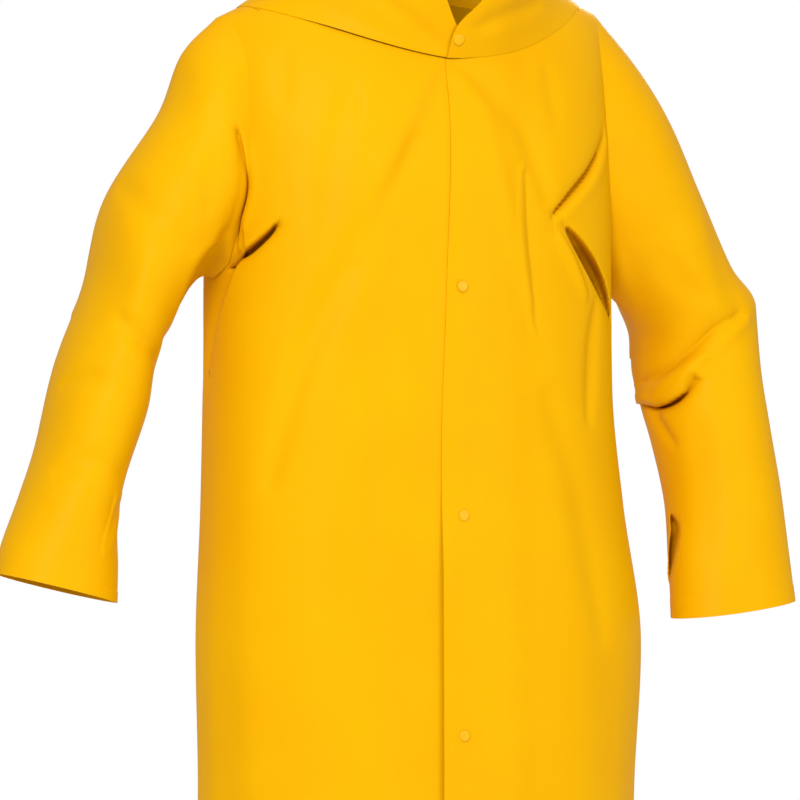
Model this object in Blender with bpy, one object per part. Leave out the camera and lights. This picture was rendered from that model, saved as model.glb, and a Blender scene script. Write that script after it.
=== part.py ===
"""Hooded raincoat, worn and filled out with no wearer inside it.

Metres, +Z up, the front faces -Y and the wearer's left is +X.  The origin is the middle of the neck
base, level with the nape.  Every piece of cloth is a thin closed wall: its outer face follows a surface
worked out from the size tables below, and its inner face lies one wall thickness inside that.
"""
import math

import bmesh
import bpy
import numpy as np
from mathutils import Vector

# Cloth and seams
WALL = 0.002                 # coated cloth, its folded seams and hems counted in
SEAM_TRIM = 0.00025          # each piece stops this far short of a seam line
HOOD_TRIM = 0.00055          # the same for the hood, on its first row
SLEEVE_LIFT = 0.0004         # a sleeve's first row stands this far off the body as well
LAP_LIFT = WALL + 0.0010     # the buttoning edge lies over the other one
LAP_FLAT = 0.050             # the lap is flat to this distance from the centre
LAP_END = 0.095              # and has come back to the body by here

# Torso
HEM_Z = -1.200
ARMPIT_Z = -0.340
SECTION_POWER = 2.35         # 2 is an ellipse, larger is squarer
SHOULDER_POWER = 2.5
RIDGE_TOP = 0.0706           # shoulder ridge: height = top - slope * sqrt(x^2 + round^2) + tilt * x
RIDGE_SLOPE = 0.45
RIDGE_ROUND = 0.060
RIDGE_TILT = 0.042           # the wearer's left shoulder is carried a little higher
TORSO = {                    # one column for each section, from the armpit down to the hem
    "z":           (-0.340, -0.470, -0.600, -0.760, -0.940, -1.200),
    "half_width":  (0.243, 0.244, 0.252, 0.266, 0.260, 0.270),
    "front_depth": (0.150, 0.152, 0.154, 0.157, 0.158, 0.163),
    "back_depth":  (0.130, 0.130, 0.133, 0.139, 0.143, 0.150),
    "centre_x":    (0.000, 0.000, 0.005, 0.013, 0.009, 0.005),
}

# Neck seam, where the hood joins
NECK_HALF = 0.208            # where it crosses the shoulder ridge
NECK_FRONT_Z = -0.097
NECK_BACK_Z = -0.005
NECK_CURVE = {1: 1.95, -1: 1.60}     # how late the front neck seam climbs, wearer's left and right
NECK_BACK_CURVE = 3.0
SHOULDER_TIP = 0.236

# Armhole: how far round the body its edge lies, in degrees from the centre line, against the climb
ARMHOLE = {
    "climb": (0.0, 4.0, 12.0, 27.0, 50.0, 70.0, 90.0),
    "front": (90.0, 82.0, 73.5, 66.0, 65.0, 69.0, 76.2),
    "back":  (90.0, 83.0, 76.0, 70.0, 69.0, 71.0, 76.2),
}

# Front edges, measured from the centre line towards the other side
FRONT_EDGE = {
    "z":    (-0.090, -0.350, -0.600, -0.760, -0.940, -1.200),
    "over": (0.010, 0.018, 0.030, 0.036, 0.033, 0.030),
}
UNDER_LAP = 0.028

# Sleeves: rings from the armhole to the cuff, by their outer and inner points in front view
SLEEVES = {
    -1: {
        "outer_x": (0.236, 0.275, 0.299, 0.359, 0.382, 0.420, 0.445, 0.4675, 0.494, 0.503),
        "outer_z": (-0.049, -0.090, -0.155, -0.250, -0.345, -0.440, -0.530, -0.585, -0.640, -0.671),
        "inner_x": (0.243, 0.260, 0.270, 0.297, 0.316, 0.324, 0.352, 0.363, 0.365, 0.369),
        "inner_z": (-0.340, -0.358, -0.372, -0.405, -0.450, -0.495, -0.567, -0.615, -0.665, -0.705),
        "y":       (0.000, 0.002, 0.005, 0.010, 0.012, 0.008, 0.000, -0.008, -0.020, -0.030),
        "depth":   (0.074, 0.085, 0.088, 0.087, 0.084, 0.081, 0.076, 0.070, 0.062, 0.057),
    },
    1: {
        "outer_x": (0.236, 0.292, 0.333, 0.372, 0.416, 0.452, 0.453, 0.459, 0.466, 0.467, 0.466),
        "outer_z": (-0.029, -0.090, -0.150, -0.230, -0.315, -0.365, -0.440, -0.510, -0.590, -0.660, -0.715),
        "inner_x": (0.243, 0.260, 0.276, 0.296, 0.310, 0.308, 0.312, 0.320, 0.326, 0.319, 0.315),
        "inner_z": (-0.340, -0.358, -0.370, -0.388, -0.412, -0.445, -0.486, -0.530, -0.600, -0.670, -0.735),
        "y":       (0.000, 0.004, 0.010, 0.018, 0.024, 0.022, 0.010, -0.003, -0.022, -0.042, -0.058),
        "depth":   (0.074, 0.085, 0.090, 0.090, 0.086, 0.082, 0.079, 0.076, 0.068, 0.060, 0.057),
    },
}
NECK_COLUMN = 10 / 11        # share of a panel's columns that end at the neck seam
RIDGE_CROWD = 1.5            # how much closer columns stand near the shoulder ridge
ARMPIT_ROW = 8 / 20          # share of a panel's rows that lie above the armpit
ARM_BLEND = 0.42             # the armhole's shape has faded out by this share of the sleeve

# Hood: level slices from the neck seam to the top, each a rounded section cut open at the face
HOOD = {
    "front_z": (-0.097, -0.060, -0.025, 0.030, 0.095, 0.165, 0.225, 0.262, 0.276),
    "side_z":  (-0.037, -0.008, 0.030, 0.085, 0.145, 0.205, 0.256, 0.288, 0.300),
    "back_z":  (-0.005, 0.028, 0.065, 0.120, 0.180, 0.238, 0.280, 0.300, 0.306),
    "half":    (0.208, 0.172, 0.146, 0.131, 0.127, 0.122, 0.103, 0.064, 0.001),
    "front_y": (-0.127, -0.142, -0.154, -0.166, -0.172, -0.168, -0.154, -0.136, -0.120),
    "side_y":  (0.000, 0.002, 0.000, -0.006, -0.010, -0.012, -0.014, -0.018, -0.030),
    "back_y":  (0.085, 0.090, 0.098, 0.112, 0.124, 0.127, 0.114, 0.088, 0.050),
    # how far the face edge lies out from the centre, on the wearer's left and right
    "face_left":  (-0.010, -0.003, 0.030, 0.064, 0.084, 0.086, 0.068, 0.034, 0.000),
    "face_right": (-0.028, 0.003, 0.024, 0.060, 0.084, 0.086, 0.068, 0.034, 0.000),
}
FACE_EDGE = {1: "face_left", -1: "face_right"}
HOOD_POWER = 2.2
HOOD_ROWS = 14
HOOD_BLEND = 0.30            # the neck seam's shape has faded out by this share of the hood
CROWN_START = 0.92           # from here up the wall's directions turn straight up at the centre seam

# How a wall's directions turn from the seam's own to the piece's own
SLEEVE_TURN = 0.12           # done by this share of a sleeve's length
HOOD_TURN = 0.10             # done by this share of the hood's height
AGREE = (0.3, 0.7)           # a sleeve keeps its own where the two differ by more (cosines)
PROBE = 0.001                # step over which directions are measured

# Snap fasteners
SNAP_HEIGHTS = (-0.353, -0.609, -0.855, -1.105)
SNAP_RADIUS = 0.0065
SNAP_DOME = 0.0016
SNAP_PROFILE = ((0.0, 1.0), (0.35, 0.94), (0.70, 0.72), (0.92, 0.42), (1.0, 0.0))   # radius, height
SNAP_STEPS = 16
SNAP_SEAT = 0.0003           # clear of the cloth
NECK_SNAP_SEAT = 0.0008      # the same on the hood's curved front
NECK_SNAP_ROW = 1.0          # how many rows above the neck seam it sits

RAINCOAT_YELLOW = (0.98, 0.47, 0.002, 1.0)
SNAP_YELLOW = (0.98, 0.50, 0.02, 1.0)


def smooth(table, column, at, key=None):
    """A column of a table read at any place, on a smooth curve through its rows."""
    values = np.asarray(table[column], float)
    places = np.asarray(table[key], float) if key else np.linspace(0.0, 1.0, len(values))
    if places[0] > places[-1]:
        places, values = places[::-1], values[::-1]
    steps = np.diff(places)
    slopes = np.diff(values) / steps
    tangents = np.empty_like(values)
    tangents[0], tangents[-1] = slopes[0], slopes[-1]
    same_way = slopes[:-1] * slopes[1:] > 0
    mean = (slopes[:-1] * steps[1:] + slopes[1:] * steps[:-1]) / (steps[:-1] + steps[1:])
    limit = 3.0 * np.minimum(abs(slopes[:-1]), abs(slopes[1:]))
    tangents[1:-1] = np.where(same_way, np.sign(mean) * np.minimum(abs(mean), limit), 0.0)
    at = np.clip(np.asarray(at, float), places[0], places[-1])
    i = np.clip(np.searchsorted(places, at, side="right") - 1, 0, len(steps) - 1)
    h = steps[i]
    t = (at - places[i]) / h
    return ((2 * t**3 - 3 * t**2 + 1) * values[i] + (t**3 - 2 * t**2 + t) * h * tangents[i]
            + (3 * t**2 - 2 * t**3) * values[i + 1] + (t**3 - t**2) * h * tangents[i + 1])


def ease(t):
    """0 to 1 with a level start and end."""
    t = np.clip(t, 0.0, 1.0)
    return t * t * (3.0 - 2.0 * t)


def rounded(share, power):
    """Depth left on a rounded section at a share of its half width."""
    return np.maximum(1.0 - np.abs(share) ** power, 0.0) ** (1.0 / power)


def unit(vectors):
    """Vectors scaled to length one."""
    return vectors / np.maximum(np.linalg.norm(vectors, axis=-1, keepdims=True), 1e-12)


def ridge_rise(x):
    """Height of the shoulder ridge above the armpit."""
    return RIDGE_TOP - RIDGE_SLOPE * np.sqrt(x**2 + RIDGE_ROUND**2) + RIDGE_TILT * x - ARMPIT_Z


def torso(theta, level):
    """Body surface: theta runs from the front centre round the wearer's left, in radians.

    Level is -1 at the hem, 0 at the armpit and 1 on the shoulder ridge; past 1 it goes down the
    other side of the ridge.
    """
    over = level > 1.0
    theta = np.where(over, math.pi - theta, theta)
    level = np.where(over, 2.0 - level, level)
    low = ARMPIT_Z + np.minimum(level, 0.0) * (ARMPIT_Z - HEM_Z)
    half = smooth(TORSO, "half_width", low, "z")
    front = smooth(TORSO, "front_depth", low, "z")
    back = smooth(TORSO, "back_depth", low, "z")
    centre = smooth(TORSO, "centre_x", low, "z")
    across = np.sin(theta)
    x = half * across
    rise = np.sin(np.maximum(level, 0.0) * math.pi / 2)
    height = ridge_rise(x)
    depth = np.where(np.cos(theta) > 0, -front, back)
    y = depth * rounded(across, SECTION_POWER) * rounded(rise, SHOULDER_POWER)
    return np.stack([x + centre, y, low + rise * height], axis=-1)


def torso_normal(theta, level):
    """Outward direction of the body surface."""
    h = 2.0 * PROBE
    along = torso(theta + h, level) - torso(theta - h, level)
    up = torso(theta, level + h) - torso(theta, level - h)
    return unit(np.cross(along, up))


def neck_seam(beta, side):
    """Body angle and level of the neck seam; beta runs from the front centre to the nape."""
    x = NECK_HALF * np.sin(beta)
    low_front = (NECK_FRONT_Z - ARMPIT_Z) / ridge_rise(0.0)
    low_back = (NECK_BACK_Z - ARMPIT_Z) / ridge_rise(0.0)
    share = np.clip(np.abs(x) / NECK_HALF, 0.0, 1.0)
    front = low_front + (1.0 - low_front) * share ** NECK_CURVE[side]
    back = low_back + (1.0 - low_back) * share ** NECK_BACK_CURVE
    rise = np.clip(np.where(np.cos(beta) > 0, front, back), 0.0, 1.0)
    theta = np.arcsin(np.clip(x / TORSO["half_width"][0], -1.0, 1.0))
    theta = np.where(np.cos(beta) > 0, theta, math.pi - theta)
    return theta, np.arcsin(rise) / (math.pi / 2)


def lap_lift(points, side):
    """How far the buttoning side stands off the body near the front centre line."""
    near = 1.0 - ease((points[..., 0] - LAP_FLAT) / (LAP_END - LAP_FLAT))
    return (LAP_LIFT * near * (points[..., 1] < 0.0) * (side > 0))[..., None]


def crowd(share):
    """Shares along the neck seam, closer together towards the shoulder ridge."""
    return 1.0 - (1.0 - np.clip(share, 0.0, 1.0)) ** RIDGE_CROWD


def panel_place(s, v, side, is_back):
    """Body angle and level on a panel; s runs from the centre edge to the side, v down."""
    up = np.clip(1.0 - v / ARMPIT_ROW, 0.0, 1.0)
    below = np.clip((v - ARMPIT_ROW) / (1.0 - ARMPIT_ROW), 0.0, 1.0)
    hole = np.radians(smooth(ARMHOLE, "back" if is_back else "front", 90.0 * up, "climb"))
    z = NECK_FRONT_Z + (ARMPIT_Z - NECK_FRONT_Z) * (1.0 - up) + (HEM_Z - ARMPIT_Z) * below
    lap = 0.0 * v if is_back else front_lap(z, side)
    top_lap = 0.0 if is_back else front_lap(NECK_FRONT_Z, side)
    first = math.asin(-top_lap / NECK_HALF)
    beta = first + (math.pi / 2 - first) * crowd(s / NECK_COLUMN)
    past = np.maximum((s - NECK_COLUMN) / (1.0 - NECK_COLUMN), 0.0)
    top_x = NECK_HALF * np.sin(beta) + past * (SHOULDER_TIP - NECK_HALF)
    body_half = TORSO["half_width"][0]
    top_theta = np.arcsin(top_x / body_half)
    _, top_level = neck_seam(math.pi - beta if is_back else beta, side)
    start = -lap / body_half
    low_share = (start + (hole - start) * s) / hole
    share = top_theta / math.asin(SHOULDER_TIP / body_half)
    share = share + (low_share - share) * ease(v / ARMPIT_ROW)
    return share * hole, np.where(v < ARMPIT_ROW, top_level * up, -below)


def front_lap(z, side):
    """How far a front edge reaches past the centre line."""
    return smooth(FRONT_EDGE, "over", z, "z") if side > 0 else UNDER_LAP + 0.0 * z


def front_face(side):
    """The outer points and directions of one front panel, as a function of its grid."""
    def face(u, v):
        theta, level = panel_place(u, v, side, False)
        normal = torso_normal(side * theta, level)
        points = torso(side * theta, level)
        return points + normal * lap_lift(points, side), normal
    return face


def back_face(u, v):
    """The outer points and directions of the back panel."""
    across = 2.0 * u - 1.0
    side = np.where(across < 0.0, 1.0, -1.0)
    theta, level = panel_place(np.abs(across), v, 1, True)
    theta = math.pi - side * theta
    return torso(theta, level), torso_normal(theta, level)


def off_seam(line, normal, target):
    """Directions in the cloth, square to a seam line, on the side where the target lies."""
    square = unit(np.cross(normal, np.gradient(line, axis=0)))
    return square * np.sign(np.sum(square * (target - line), axis=-1))[..., None]


def cloth(name, face, columns, rows, material, is_tube=False, hole=None, first_trim=SEAM_TRIM):
    """A closed thin wall on a surface given by face(u, v); a tube closes on itself along u.

    Row 0 is sewn round the hole whose middle is given, where there is one.
    """
    u, v = np.meshgrid(np.linspace(0.0, 1.0, columns + 1), np.linspace(0.0, 1.0, rows + 1))
    outer, normal = face(u, v)
    inside_first = outer[1] if hole is None else np.array(hole)
    step = np.zeros_like(outer)
    step[0] = off_seam(outer[0], normal[0], inside_first)
    step[0] *= first_trim / SEAM_TRIM
    step[-1] = off_seam(outer[-1], normal[-1], outer[-2])
    if not is_tube:
        step[:, 0] += off_seam(outer[:, 0], normal[:, 0], outer[:, 1])
        step[:, -1] += off_seam(outer[:, -1], normal[:, -1], outer[:, -2])
    outer = outer + step * SEAM_TRIM
    inner = (outer - normal * WALL).reshape(-1, 3)
    outer = outer.reshape(-1, 3)
    bm = bmesh.new()
    bmesh.ops.create_grid(bm, x_segments=columns, y_segments=rows, size=0.5)
    place = bm.verts.layers.int.new("place")
    for vertex in bm.verts:
        column = round((vertex.co.x + 0.5) * columns) % (columns if is_tube else columns + 1)
        row = round((vertex.co.y + 0.5) * rows)
        vertex[place] = row * (columns + 1) + column
        vertex.co = outer[vertex[place]]
    if is_tube:
        bmesh.ops.remove_doubles(bm, verts=bm.verts[:], dist=1e-6)
    skin = bmesh.ops.extrude_face_region(bm, geom=bm.faces[:], use_keep_orig=True)
    for item in skin["geom"]:
        if isinstance(item, bmesh.types.BMVert):
            item.co = inner[item[place]]
    bmesh.ops.recalc_face_normals(bm, faces=bm.faces[:])
    bmesh.ops.triangulate(bm, faces=bm.faces[:])
    mesh = bpy.data.meshes.new(name)
    bm.to_mesh(mesh)
    bm.free()
    mesh.shade_smooth()
    mesh.materials.append(material)
    piece = bpy.data.objects.new(name, mesh)
    bpy.context.scene.collection.objects.link(piece)
    return piece


def armhole(psi, side):
    """Outer points and directions of the armhole; psi runs 0 to 1 from the armpit, front first."""
    up = 90.0 * (1.0 - np.abs(2.0 * psi - 1.0))
    in_front = psi <= 0.5
    front = smooth(ARMHOLE, "front", up, "climb")
    back = smooth(ARMHOLE, "back", up, "climb")
    theta = np.radians(np.where(in_front, front, 180.0 - back)) * side
    level = up / 90.0
    return torso(theta, level), torso_normal(theta, level)


def sleeve_rings(psi, t, side):
    """Points of the sleeve's own rings, before the armhole's shape is blended in."""
    rows = SLEEVES[side]
    outer_x, outer_z = smooth(rows, "outer_x", t), smooth(rows, "outer_z", t)
    inner_x, inner_z = smooth(rows, "inner_x", t), smooth(rows, "inner_z", t)
    angle = 2.0 * math.pi * psi
    along = 0.5 - 0.5 * np.cos(angle)
    x = inner_x + (outer_x - inner_x) * along
    z = inner_z + (outer_z - inner_z) * along
    y = smooth(rows, "y", t) - smooth(rows, "depth", t) * np.sin(angle)
    return np.stack([side * x, y, z], axis=-1)


def sleeve_points(psi, t, side):
    """Outer points of a sleeve; t runs from the armhole to the cuff."""
    start, _ = armhole(psi, side)
    fade = 1.0 - ease(t / ARM_BLEND)
    drift = start - sleeve_rings(psi, 0.0 * t, side)
    return sleeve_rings(psi, t, side) + drift * fade[..., None]


def sleeve_face(side):
    """The outer points and directions of one sleeve, as a function of its grid."""
    def face(u, v):
        round_it = sleeve_points((u + PROBE) % 1.0, v, side) - sleeve_points((u - PROBE) % 1.0, v, side)
        down = sleeve_points(u, v + PROBE, side) - sleeve_points(u, np.maximum(v - PROBE, 0.0), side)
        normal = unit(np.cross(down, round_it)) * side
        _, seam = armhole(u, side)
        near = 1.0 - ease(v / SLEEVE_TURN)
        flat = ease((np.sum(seam * normal, axis=-1) - AGREE[0]) / (AGREE[1] - AGREE[0]))
        share = (flat * near)[..., None]
        lift = seam * (SLEEVE_LIFT * near)[..., None]
        return sleeve_points(u, v, side) + lift, unit(seam * share + normal * (1.0 - share))
    return face


def hood_slices(beta, t):
    """Points of the hood's own slices; beta runs from the front centre round to the back."""
    half, side_y = smooth(HOOD, "half", t), smooth(HOOD, "side_y", t)
    across = np.sin(beta)
    in_front = np.cos(beta) > 0
    end_y = np.where(in_front, smooth(HOOD, "front_y", t), smooth(HOOD, "back_y", t))
    end_z = np.where(in_front, smooth(HOOD, "front_z", t), smooth(HOOD, "back_z", t))
    side_z = smooth(HOOD, "side_z", t)
    y = side_y + (end_y - side_y) * rounded(across, HOOD_POWER)
    z = end_z + (side_z - end_z) * across**2
    return np.stack([half * across, y, z], axis=-1)


def hood_points(beta, t, side):
    """Outer points of one half of the hood, which starts on the neck seam."""
    theta, level = neck_seam(beta, side)
    start = torso(side * theta, level)
    fade = 1.0 - ease(t / HOOD_BLEND)
    drift = start * (side, 1.0, 1.0) - hood_slices(beta, 0.0 * t)
    return (hood_slices(beta, t) + drift * fade[..., None]) * (side, 1.0, 1.0)


def hood_face(side):
    """The outer points and directions of half a hood, as a function of its grid."""
    def face(u, v):
        half = np.maximum(smooth(HOOD, "half", v), 1e-4)
        edge = np.arcsin(np.clip(smooth(HOOD, FACE_EDGE[side], v) / half, -1.0, 1.0))
        front = edge + (math.pi / 2 - edge) * crowd(2.0 * u)
        beta = np.where(u < 0.5, front, math.pi - math.pi / 2 * crowd(2.0 - 2.0 * u))
        along = hood_points(beta + PROBE, v, side) - hood_points(beta - PROBE, v, side)
        low, high = np.maximum(v - PROBE, 0.0), np.minimum(v + PROBE, 1.0)
        up = hood_points(beta, high, side) - hood_points(beta, low, side)
        normal = unit(np.cross(along, up)) * side
        theta, level = neck_seam(beta, side)
        seam = torso_normal(theta * side, level)
        share = ease(v / HOOD_TURN)[..., None]
        normal = unit(seam * (1.0 - share) + normal * share)
        sideways = 1.0 - ease((v - CROWN_START) / (1.0 - CROWN_START))
        normal = unit(normal * np.stack([sideways, np.ones_like(v), np.ones_like(v)], axis=-1))
        points = hood_points(beta, v, side)
        return points + normal * lap_lift(points, side), normal
    return face


def snap_cap(name, centre, outward, seat, material):
    """The domed outer cap of one snap fastener, seated on the cloth."""
    bm = bmesh.new()
    rings = [bm.verts.new((out * SNAP_RADIUS, 0.0, up * SNAP_DOME)) for out, up in SNAP_PROFILE]
    edges = [bm.edges.new(pair) for pair in zip(rings, rings[1:])]
    bmesh.ops.spin(bm, geom=rings + edges, cent=(0.0, 0.0, 0.0), axis=(0.0, 0.0, 1.0),
                   angle=2.0 * math.pi, steps=SNAP_STEPS, use_merge=True)
    bmesh.ops.remove_doubles(bm, verts=bm.verts[:], dist=1e-6)
    bmesh.ops.contextual_create(bm, geom=[edge for edge in bm.edges if edge.is_boundary])
    bmesh.ops.recalc_face_normals(bm, faces=bm.faces[:])
    mesh = bpy.data.meshes.new(name)
    bm.to_mesh(mesh)
    bm.free()
    mesh.shade_smooth()
    mesh.materials.append(material)
    cap = bpy.data.objects.new(name, mesh)
    bpy.context.scene.collection.objects.link(cap)
    cap.rotation_mode = "QUATERNION"
    outward = Vector(outward)
    cap.rotation_quaternion = outward.to_track_quat("Z", "Y")
    cap.location = Vector(centre) + outward * seat
    return cap


def finish(name, color, roughness):
    """A plain material: colour, roughness and no metal."""
    material = bpy.data.materials.new(name)
    material.use_nodes = True
    shader = material.node_tree.nodes["Principled BSDF"]
    shader.inputs["Base Color"].default_value = color
    shader.inputs["Roughness"].default_value = roughness
    shader.inputs["Metallic"].default_value = 0.0
    return material


def clear_scene():
    """Remove every object that the scene starts with."""
    for item in list(bpy.data.objects):
        bpy.data.objects.remove(item)


def snap_places():
    """Centre and outward direction of each snap, from the neck down."""
    edge = math.asin(HOOD["face_left"][0] / HOOD["half"][0])
    middle = -edge / (math.pi / 2 - edge) / RIDGE_CROWD / 2.0
    places = [hood_face(1)(np.array(middle), np.array(NECK_SNAP_ROW / HOOD_ROWS))]
    for height in SNAP_HEIGHTS:
        level = np.array((height - ARMPIT_Z) / (ARMPIT_Z - HEM_Z))
        theta = np.array(-smooth(TORSO, "centre_x", height, "z") / TORSO["half_width"][0])
        normal = torso_normal(theta, level)
        places.append((torso(theta, level) + normal * LAP_LIFT, normal))
    return places


def main():
    """Build every piece of the coat."""
    clear_scene()
    coat = finish("raincoat_yellow", RAINCOAT_YELLOW, 0.38)
    snap = finish("snap_yellow", SNAP_YELLOW, 0.30)
    cloth("back", back_face, 22, 20, coat)
    for side, name in ((1, "left"), (-1, "right")):
        arm_hole = (side * SHOULDER_TIP, 0.0, (ARMPIT_Z + RIDGE_TOP) / 2)
        cloth("front_" + name, front_face(side), 11, 20, coat)
        cloth("sleeve_" + name, sleeve_face(side), 16, 18, coat, is_tube=True, hole=arm_hole)
        cloth("hood_" + name, hood_face(side), 20, HOOD_ROWS, coat, hole=(0.0, 0.0, 0.0),
              first_trim=HOOD_TRIM)
    for number, (centre, outward) in enumerate(snap_places(), start=1):
        seat = NECK_SNAP_SEAT if number == 1 else SNAP_SEAT
        snap_cap(f"snap_{number}", centre, outward, seat, snap)


if __name__ == "__main__":
    main()
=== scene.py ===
"""Looks of the hooded raincoat: satin coated cloth with its folds, seams and snaps, in a plain studio.

Metres, +Z up, the front faces -Y and the wearer's left is +X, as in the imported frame.  Each piece of
cloth is one fine sheet on the form of its solid, bent by a short list of folds, then given thickness.
"""

import logging
import math
from dataclasses import dataclass
from enum import Enum

import bmesh
import bpy
import numpy as np
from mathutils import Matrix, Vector


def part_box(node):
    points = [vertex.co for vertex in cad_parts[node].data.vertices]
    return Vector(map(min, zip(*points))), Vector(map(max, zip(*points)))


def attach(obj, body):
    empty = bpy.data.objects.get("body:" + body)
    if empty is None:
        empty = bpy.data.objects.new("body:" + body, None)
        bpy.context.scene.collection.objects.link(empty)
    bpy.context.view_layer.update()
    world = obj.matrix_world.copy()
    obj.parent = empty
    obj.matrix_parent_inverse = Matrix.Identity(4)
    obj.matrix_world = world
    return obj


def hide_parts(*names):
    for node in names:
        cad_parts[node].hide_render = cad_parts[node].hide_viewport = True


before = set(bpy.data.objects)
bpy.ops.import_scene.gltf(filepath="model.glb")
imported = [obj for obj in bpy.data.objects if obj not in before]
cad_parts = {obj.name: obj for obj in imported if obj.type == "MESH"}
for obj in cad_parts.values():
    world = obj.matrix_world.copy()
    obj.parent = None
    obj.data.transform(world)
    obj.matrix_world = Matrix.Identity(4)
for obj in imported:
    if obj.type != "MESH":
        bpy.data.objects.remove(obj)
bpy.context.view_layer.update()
LOG = logging.getLogger("raincoat")
Array = np.ndarray
MM = 1000.0  # millimetres in a metre
PROBE = 1e-3  # step, as a share of a piece, over which its slope is read
SEAM_SHARE = 0.10  # share of a sleeve or hood whose cloth leans as the body's does at the seam
WELD = 1e-5  # points closer than this are one
SNAP_COUNT = 5


# ---------------------------------------------------------------------------------------------
# Small helpers
# ---------------------------------------------------------------------------------------------
def smooth(values: tuple, at: Array, places: tuple | None = None) -> Array:
    """Read a row of sizes at any place, on a smooth curve that never overshoots.

    Args:
        values: the sizes.
        at: where to read, on the scale of places, or 0 to 1.
        places: where each size stands; evenly from 0 to 1 if not given.

    Returns:
        The sizes read there.
    """
    sizes = np.asarray(values, float)
    keys = np.linspace(0.0, 1.0, len(sizes)) if places is None else np.asarray(places, float)
    if keys[0] > keys[-1]:
        keys, sizes = keys[::-1], sizes[::-1]
    steps = np.diff(keys)
    slopes = np.diff(sizes) / steps
    tangents = np.empty_like(sizes)
    tangents[0], tangents[-1] = slopes[0], slopes[-1]
    same_way = slopes[:-1] * slopes[1:] > 0
    mean = (slopes[:-1] * steps[1:] + slopes[1:] * steps[:-1]) / (steps[:-1] + steps[1:])
    limit = 3.0 * np.minimum(abs(slopes[:-1]), abs(slopes[1:]))
    tangents[1:-1] = np.where(same_way, np.sign(mean) * np.minimum(abs(mean), limit), 0.0)
    at = np.clip(np.asarray(at, float), keys[0], keys[-1])
    i = np.clip(np.searchsorted(keys, at, side="right") - 1, 0, len(steps) - 1)
    h = steps[i]
    t = (at - keys[i]) / h
    return ((2 * t**3 - 3 * t**2 + 1) * sizes[i] + (t**3 - 2 * t**2 + t) * h * tangents[i]
            + (3 * t**2 - 2 * t**3) * sizes[i + 1] + (t**3 - t**2) * h * tangents[i + 1])


def ease(t: Array) -> Array:
    """Go from 0 to 1 with a level start and end."""
    t = np.clip(t, 0.0, 1.0)
    return t * t * (3.0 - 2.0 * t)


def between(at: Array, ends: tuple) -> Array:
    """Go from 0 to 1 as a value passes from the first end to the second."""
    return ease((at - ends[0]) / (ends[1] - ends[0]))


def rounded(share: Array, power: float) -> Array:
    """Depth left on a rounded section at a share of its half width."""
    return np.maximum(1.0 - np.abs(share) ** power, 0.0) ** (1.0 / power)


def unit(vectors: Array) -> Array:
    """Vectors scaled to length one."""
    return vectors / np.maximum(np.linalg.norm(vectors, axis=-1, keepdims=True), 1e-12)


def place(name: str, bm: bmesh.types.BMesh) -> bpy.types.Object:
    """Make an object of a finished bmesh, at the origin.

    Args:
        name: the object's name.
        bm: its form, which is freed.

    Returns:
        The object.
    """
    mesh = bpy.data.meshes.new(name)
    bm.to_mesh(mesh)
    bm.free()
    piece = bpy.data.objects.new(name, mesh)
    bpy.context.scene.collection.objects.link(piece)
    return piece


def dial(node: bpy.types.Node, **values: object) -> None:
    """Set a node's sockets.

    Args:
        node: the shader node.
        values: each socket's value, with underscores for the spaces in its name.
    """
    for name, value in values.items():
        node.inputs[name.replace("_", " ")].default_value = value


# ---------------------------------------------------------------------------------------------
# Folds
# ---------------------------------------------------------------------------------------------
class FoldShape(Enum):
    """How a fold's cross-section runs."""

    TROUGH = "soft hollow"
    RIDGE = "soft crest"
    CREASE = "sharp line, steep on one side, with a soft lip there"
    TUCK = "edge past which the cloth falls back"
    SLIT = "narrow pocket between two layers of the cloth"


REACH = {FoldShape.TUCK: 7.0}  # how far a fold moves the cloth, in half widths
SOFT_REACH = 4.5
LEAST_WIDTH = {FoldShape.SLIT: 0.12}  # share of the half width left at a fold's ends
SOFT_WIDTH = 0.55
END_POWER = 0.7  # below 1, a fold keeps its depth further towards its ends
SLIDE_FROM, SLIDE_FADE = 0.5, 2.2  # where cloth slides over a line, in half widths
SLIT_FLOOR, SLIT_WALL = 0.45, 0.75  # a pocket's level floor and its wall, in half widths
TUCK_EDGE, TUCK_HOLD, TUCK_RETURN = 0.8, 1.5, 5.0  # a tuck's drop, level and way back
LIP_AT, LIP_WIDTH = 1.6, 0.8  # a crease's lip, in half widths
STEEP, GENTLE = 2.6, 1.3  # how fast a crease's two sides climb
ROUTE_STEPS = 6


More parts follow.
